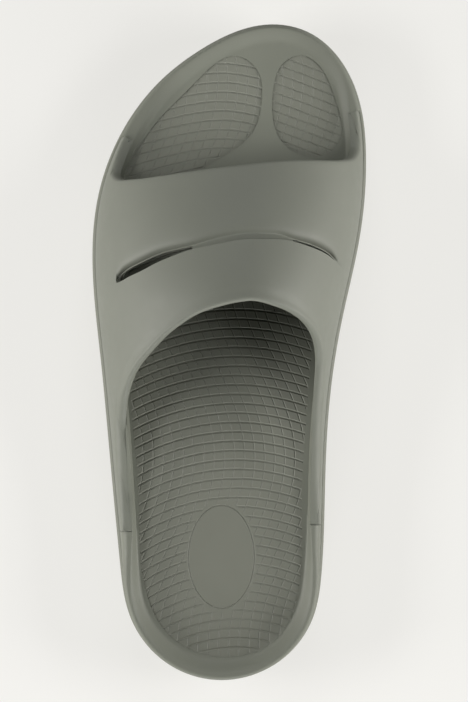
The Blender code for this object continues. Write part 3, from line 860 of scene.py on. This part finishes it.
def rounding_zone(edge, other, reach):
    """Share of each line, from one edge to the other, that its rounding takes up."""
    tip = band_surface(*edge.T)
    way = band_surface(*other.T) - tip
    length = np.linalg.norm(way, axis=1)
    near = band_surface(*((1.0 - NEAR_EDGE) * edge + NEAR_EDGE * other).T) - tip
    near /= np.linalg.norm(near, axis=1)[:, None]
    along = np.gradient(tip, axis=0)
    along /= np.linalg.norm(along, axis=1)[:, None]
    slant = np.maximum(np.linalg.norm(np.cross(near, along), axis=1), LINE_SLANT)
    return np.minimum(reach / slant / length, ZONE_LIMIT)


def between(start, end, shares):
    """Points on the way from each start to its end."""
    return start[:, None] * (1.0 - shares[..., None]) + end[:, None] * shares[..., None]


def shares_from(zone, count):
    """Shares of each line from its free edge on, first round the edge and then over the face."""
    zone = zone[:, None]
    return np.concatenate([zone * nose_rows(), zone + (1.0 - zone) * spread_rows(count)[1:]], axis=1)


def face_lines(front, slit, lip, collar, front_reach, collar_reach):
    """Angle and place of each point over the outer face, and the columns of the slit's two lips."""
    ahead = between(front, slit, shares_from(rounding_zone(front, slit, front_reach), FRONT_ROWS))
    behind = between(collar, lip, shares_from(rounding_zone(collar, lip, collar_reach), BACK_ROWS))
    strip = between(slit, lip, np.broadcast_to(STRIP_SHARES[1:-1], (len(slit), len(STRIP_SHARES) - 2)))
    front_lip = ahead.shape[1] - 1
    back_lip = front_lip + len(STRIP_SHARES) - 1
    return np.concatenate([ahead, strip, behind[:, ::-1]], axis=1), front_lip, back_lip


def slit_and_trough(surface, front_lip, back_lip, dip, collar):
    """At each point: drop of the rolled lip, depth of the collar's trough, and how upright the wall is."""
    number = np.arange(surface.shape[1])
    before = number <= front_lip
    after = number >= back_lip
    to_front_lip, to_back_lip, to_collar = [
        np.linalg.norm(surface - surface[:, column][:, None], axis=2) for column in (front_lip, back_lip, -1)
    ]
    roll = np.exp(-(np.maximum(to_front_lip - LIP_FLAT, 0.0) / LIP_ROLL)) * before
    floor = np.zeros(len(number))
    floor[front_lip + 1 : back_lip] = STRIP_DEPTHS[1:-1]
    trough = TROUGH_DEPTH * np.exp(-(((to_collar - TROUGH_PLACE) / TROUGH_SPREAD) ** 2)) * after
    trough = trough * over_range(collar[:, :1], TROUGH_RANGE)
    to_lip = np.where(before, to_front_lip, np.where(after, to_back_lip, 0.0))
    cut = np.exp(-((to_lip / LIP_UPRIGHT) ** 2)) * (dip / dip.max())[:, None]
    return dip[:, None] * (roll + floor), trough, cut


def upper_wall():
    """Rows over the outer face of the upper and back over its inner face, one column for each line."""
    front, slit, gap, dip, collar, rounding = upper_lines()
    front = seated(front, FRONT_SEATED)
    collar = seated(collar, COLLAR_SEATED)
    lip = slit - np.column_stack([np.zeros(len(gap)), gap])
    end_lines = np.arange(len(gap)) <= (TAIL_LINES - 1) * LINE_STEPS
    end_lines = end_lines | end_lines[::-1]
    front_round = rounding * np.where(end_lines, TAIL_ROUND, 1.0)
    collar_round = rounding * np.where(end_lines, HEEL_END_ROUND, 1.0)
    front_outer, front_peak = edge_rounding(front, front_round, FRONT_WING_ROUND)
    collar_outer, collar_peak = edge_rounding(collar, collar_round, COLLAR_WING_ROUND)

    lines, front_lip, back_lip = face_lines(front, slit, lip, collar, front_outer, collar_outer)
    surface = band_surface(lines[..., 0], lines[..., 1])
    normal = band_normal(lines[..., 0], lines[..., 1])
    upright = np.zeros_like(normal)
    upright[..., 2] = 1.0 / np.maximum(normal[..., 2], STEEP_LIMIT)
    drop, trough, cut = slit_and_trough(surface, front_lip, back_lip, dip, collar)
    sunk = surface - upright * drop[..., None] - normal * trough[..., None]
    inward = normal * (1.0 - cut[..., None]) + upright * cut[..., None]

    front_tip = band_surface(*front.T)
    collar_tip = band_surface(*collar.T)
    off_outer = np.maximum(
        rounded_off(surface, front_tip, front_outer, WALL * front_peak),
        rounded_off(surface, collar_tip, collar_outer, WALL * collar_peak),
    )
    off_inner = np.maximum(
        rounded_off(surface, front_tip, front_round, WALL * (1.0 - front_peak)),
        rounded_off(surface, collar_tip, collar_round, WALL * (1.0 - collar_peak)),
    )
    outer = sunk - normal * off_outer[..., None]
    inner = sunk - WALL * inward + normal * off_inner[..., None]
    rows = np.concatenate([outer, inner[:, ::-1]], axis=1)
    return np.swapaxes(rows, 0, 1), np.arange(front_lip, back_lip + 1)


def make_upper():
    """The band with its wings: one wall, open at the slit on both sides of the bridge."""
    rows, outer_lips = upper_wall()
    lines = rows.shape[1]
    names = [row[0] for row in UPPER_LINES]
    start, bridge_start, bridge_end, end = (
        names.index(name) * LINE_STEPS for name in ("slit start", "bridge start", "bridge end", "slit end")
    )
    inner_lips = rows.shape[0] - 1 - outer_lips

    upper = grid("foam_upper", rows)
    openings = (("outer slit", start, bridge_start), ("inner slit", bridge_end, end))
    chosen = np.zeros((rows.shape[0] - 1, lines - 1), dtype=bool)
    for name, first, last in openings:
        group = upper.vertex_groups.new(name=name)
        for lips in (outer_lips, inner_lips):
            chosen[min(lips) : max(lips), first:last] = True
            edge = [row * lines + line for row in (lips[0], lips[-1]) for line in range(first, last + 1)]
            edge += [row * lines + line for row in lips for line in (first, last)]
            group.add([int(number) for number in edge], 1.0, "REPLACE")
    select_none(upper)
    upper.data.polygons.foreach_set("select", chosen.ravel())
    edit(upper, "FACE")
    bpy.ops.mesh.delete(type="ONLY_FACE")
    bpy.ops.mesh.select_all(action="SELECT")
    bpy.ops.mesh.delete_loose(use_verts=True, use_edges=True, use_faces=False)
    leave()
    weld(upper)
    for name, *_ in openings:
        edit(upper, "EDGE")
        bpy.ops.mesh.select_all(action="DESELECT")
        upper.vertex_groups.active_index = upper.vertex_groups[name].index
        bpy.ops.object.vertex_group_select()
        bpy.ops.mesh.bridge_edge_loops()
        leave()
    close_holes(upper)
    upper.vertex_groups.clear()
    smooth(upper)
    return upper


# What is let into the footbed


def groove_lines(first, last, pitch, width):
    """Places of mesh lines across a run of grooves, and how deep in its groove each one lies."""
    places = []
    shares = []
    for middle in np.arange(first, last, pitch):
        for offset, share in GROOVE_PROFILE:
            places.append(middle + offset * width)
            shares.append(share)
        for part in BETWEEN_GROOVES:
            places.append(middle + 0.5 * width + part * (pitch - width))
            shares.append(0.0)
    return np.array(places), np.array(shares)


def sole_arc(x, apex):
    """How far an arc across the insole has fallen back from its apex."""
    radius = np.interp(apex, *np.transpose(ARC_RADII))
    reach = np.clip(x - ARC_APEX, -ARC_LIMIT * radius, ARC_LIMIT * radius)
    return radius - np.sqrt(radius * radius - reach * reach)


def toe_arc(x, apex):
    """How far a line across the toe pads has fallen back from its apex."""
    reach = x - TOE_APEX
    fall = np.where(reach < 0.0, TOE_FALL_OUTER, TOE_FALL_INNER)
    return fall * (np.sqrt(reach * reach + TOE_ROUND * TOE_ROUND) - TOE_ROUND)


def ribbed_top(loop, arc):
    """Points of a pad's top, on lines that follow its two runs of grooves."""
    low = loop.min(axis=0) - BLOCK_MARGIN
    high = loop.max(axis=0) + BLOCK_MARGIN
    base, along_share = groove_lines(low[0] - SWAY, high[0] + SWAY, ALONG_PITCH, ALONG_WIDTH)
    far = max(arc(np.array([low[0], high[0]]), low[1]))
    first = low[1] - ACROSS_PITCH
    last = high[1] + far + ACROSS_PITCH
    apex, across_share = groove_lines(first, last, ACROSS_PITCH, ACROSS_WIDTH)
    base, apex = np.meshgrid(base, apex)
    x = base
    y = apex
    for _ in range(ARC_TRIES):
        x = base + SWAY * np.cos(2.0 * math.pi * (y - SWAY_APEX) / SWAY_LENGTH)
        y = apex - arc(x, apex)
    depth = np.maximum(ACROSS_DEPTH * across_share[:, None], ALONG_DEPTH * along_share[None])
    fade = through(loop_distance(loop, x, y), GROOVE_FADE)
    round_oval = np.hypot((x - OVAL_CENTRE[0]) / OVAL_HALF[0], (y - OVAL_CENTRE[1]) / OVAL_HALF[1])
    from_oval = (round_oval - 1.0) * 0.5 * sum(OVAL_HALF)
    fade = fade * through(from_oval, OVAL_FADE)
    z = footbed(x, y) - PAD_SINK - depth * fade
    return np.stack([x, y, z], axis=-1)


def ribbed_block(name, loop, arc):
    """All that lies over the ribbed top of a pad, as one block to cut away."""
    block = grid(name, ribbed_top(loop, arc))
    edit(block, "EDGE")
    bpy.ops.mesh.select_all(action="DESELECT")
    bpy.ops.mesh.select_non_manifold(
        extend=False, use_wire=False, use_multi_face=False, use_non_contiguous=False, use_verts=False
    )
    bpy.ops.mesh.extrude_region_move(TRANSFORM_OT_translate={"value": (0.0, 0.0, BLOCK_RISE * MM)})
    bpy.ops.transform.resize(value=(1.0, 1.0, 0.0), center_override=(0.0, 0.0, BLOCK_TOP * MM))
    bpy.ops.mesh.edge_face_add()
    bpy.ops.mesh.select_all(action="SELECT")
    bpy.ops.mesh.normals_make_consistent(inside=False)
    leave()
    return block


def oval_groove():
    """The groove round the plain oval in the heel."""
    turn = np.linspace(0.0, 2.0 * math.pi, OVAL_STEPS, endpoint=False)
    flare = 0.5 * OVAL_GROOVE * (1.0 + OVAL_RISE / OVAL_GROOVE_DEPTH)
    rings = []
    for widen, lift in ((flare, OVAL_RISE), (0.0, -OVAL_GROOVE_DEPTH), (-flare, OVAL_RISE)):
        x = OVAL_CENTRE[0] + (OVAL_HALF[0] + widen) * np.cos(turn)
        y = OVAL_CENTRE[1] + (OVAL_HALF[1] + widen) * np.sin(turn)
        rings.append(np.column_stack([x, y, footbed(x, y) - PAD_SINK + lift]))
    rings.append(rings[0])
    groove = grid("oval groove", ringed(np.array(rings)))
    weld(groove)
    return groove


# Pads: node, outline, number of points round it
PADS = (
    ("insole", INSOLE_OUTLINE, 240),
    ("toe_pad_lateral", LATERAL_PAD_OUTLINE, 120),
    ("toe_pad_medial", MEDIAL_PAD_OUTLINE, 96),
)


def make_pad(name, outline, steps):
    """One pad of the footbed, with its ribs and, in the insole, the oval cut in."""
    pad, loop = pad_slab("ribbed_" + name, outline, steps, 0.0, -PAD_SINK - PAD_DEPTH, CUTTER_RISE)
    if name == "insole":
        carve(pad, oval_groove())
    arc = sole_arc if name == "insole" else toe_arc
    carve(pad, ribbed_block(name + " ribs", loop, arc))
    smooth(pad, RIB_SHARP_ANGLE)
    return pad


# Finish


def foam(name, colour):
    """Matt closed-cell foam: a fine grain, and a tone and gloss that change softly over the surface."""
    material = bpy.data.materials.new(name)
    material.use_nodes = True
    nodes = material.node_tree.nodes
    links = material.node_tree.links
    shader = nodes["Principled BSDF"]
    shader.inputs["Specular IOR Level"].default_value = FOAM_SPECULAR
    place_on_piece = nodes.new("ShaderNodeTexCoord")

    def noise(scale, detail):
        texture = nodes.new("ShaderNodeTexNoise")
        texture.inputs["Scale"].default_value = scale
        texture.inputs["Detail"].default_value = detail
        links.new(place_on_piece.outputs["Object"], texture.inputs["Vector"])
        return texture.outputs["Fac"]

    tone = nodes.new("ShaderNodeMix")
    tone.data_type = "RGBA"
    for socket, share in zip("AB", TONE_RANGE):
        tone.inputs[socket].default_value = [share * value for value in colour] + [1.0]
    links.new(noise(*TONE_NOISE), tone.inputs["Factor"])
    links.new(tone.outputs["Result"], shader.inputs["Base Color"])

    gloss = nodes.new("ShaderNodeMapRange")
    gloss.inputs["To Min"].default_value = GLOSS_RANGE[0]
    gloss.inputs["To Max"].default_value = GLOSS_RANGE[1]
    links.new(noise(*GLOSS_NOISE), gloss.inputs["Value"])
    links.new(gloss.outputs["Result"], shader.inputs["Roughness"])

    grain = nodes.new("ShaderNodeBump")
    grain.inputs["Strength"].default_value = GRAIN_STRENGTH
    grain.inputs["Distance"].default_value = GRAIN_HEIGHT
    links.new(noise(*GRAIN_NOISE), grain.inputs["Height"])
    links.new(grain.outputs["Normal"], shader.inputs["Normal"])
    return material


def dress(piece, material, node):
    """Give a piece its finish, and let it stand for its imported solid."""
    piece.data.materials.clear()
    piece.data.materials.append(material)
    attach(piece, "root")
    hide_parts(node)


# Studio


def soft_light(name, place_at, power, colour):
    """A soft area light, turned to the slide."""
    deselect()
    bpy.ops.object.light_add(type="AREA", location=place_at)
    light = bpy.context.active_object
    light.name = name
    light.data.shape = "RECTANGLE"
    light.data.size = LIGHT_SIZE[0]
    light.data.size_y = LIGHT_SIZE[1]
    light.data.energy = power
    light.data.color = colour
    toward = np.array(LIGHT_AIM) - np.array(place_at)
    tilt = math.atan2(math.hypot(toward[0], toward[1]), -toward[2])
    turn = math.atan2(toward[1], toward[0]) - 0.5 * math.pi
    light.rotation_euler = (tilt, 0.0, turn)


def pale_floor():
    """A plain paper floor with a little light of its own."""
    deselect()
    bpy.ops.mesh.primitive_plane_add(size=FLOOR_SIZE, location=(0.0, 0.0, -FLOOR_DROP))
    floor = bpy.context.active_object
    floor.name = "floor"
    paper = bpy.data.materials.new("pale floor")
    paper.use_nodes = True
    shader = paper.node_tree.nodes["Principled BSDF"]
    shader.inputs["Base Color"].default_value = FLOOR_COLOUR
    shader.inputs["Roughness"].default_value = FLOOR_ROUGHNESS
    shader.inputs["Specular IOR Level"].default_value = 0.0
    shader.inputs["Emission Color"].default_value = GLOW_COLOUR
    shader.inputs["Emission Strength"].default_value = GLOW_STRENGTH
    floor.data.materials.append(paper)


def studio():
    """Floor, soft lights and the camera of the photo."""
    pale_floor()
    for sign, side in ((-1.0, "left "), (1.0, "right ")):
        for name, (x, y, z), power, colour in SIDE_LIGHTS:
            soft_light(side + name, (sign * x, y, z), power, colour)
    for light in END_LIGHTS:
        soft_light(*light)

    world = bpy.data.worlds.new("studio")
    world.use_nodes = True
    background = world.node_tree.nodes["Background"]
    background.inputs["Color"].default_value = (1.0, 1.0, 1.0, 1.0)
    background.inputs["Strength"].default_value = WORLD_STRENGTH
    bpy.context.scene.world = world
    bpy.context.scene.view_settings.view_transform = "Standard"

    deselect()
    bpy.ops.object.camera_add(location=CAMERA_PLACE, rotation=(0.0, 0.0, 0.0))
    camera = bpy.context.active_object
    camera.data.lens = CAMERA_LENS
    bpy.context.scene.camera = camera


deselect()
upper_foam = foam("upper foam", UPPER_COLOUR)
sole_foam = foam("sole foam", SOLE_COLOUR)
footbed_foam = foam("footbed foam", FOOTBED_COLOUR)
dress(make_sole(), sole_foam, "sole")
dress(make_upper(), upper_foam, "upper")
for pad_name, pad_outline, pad_steps in PADS:
    pad = make_pad(pad_name, pad_outline, pad_steps)
    dress(pad, footbed_foam, pad_name)
studio()
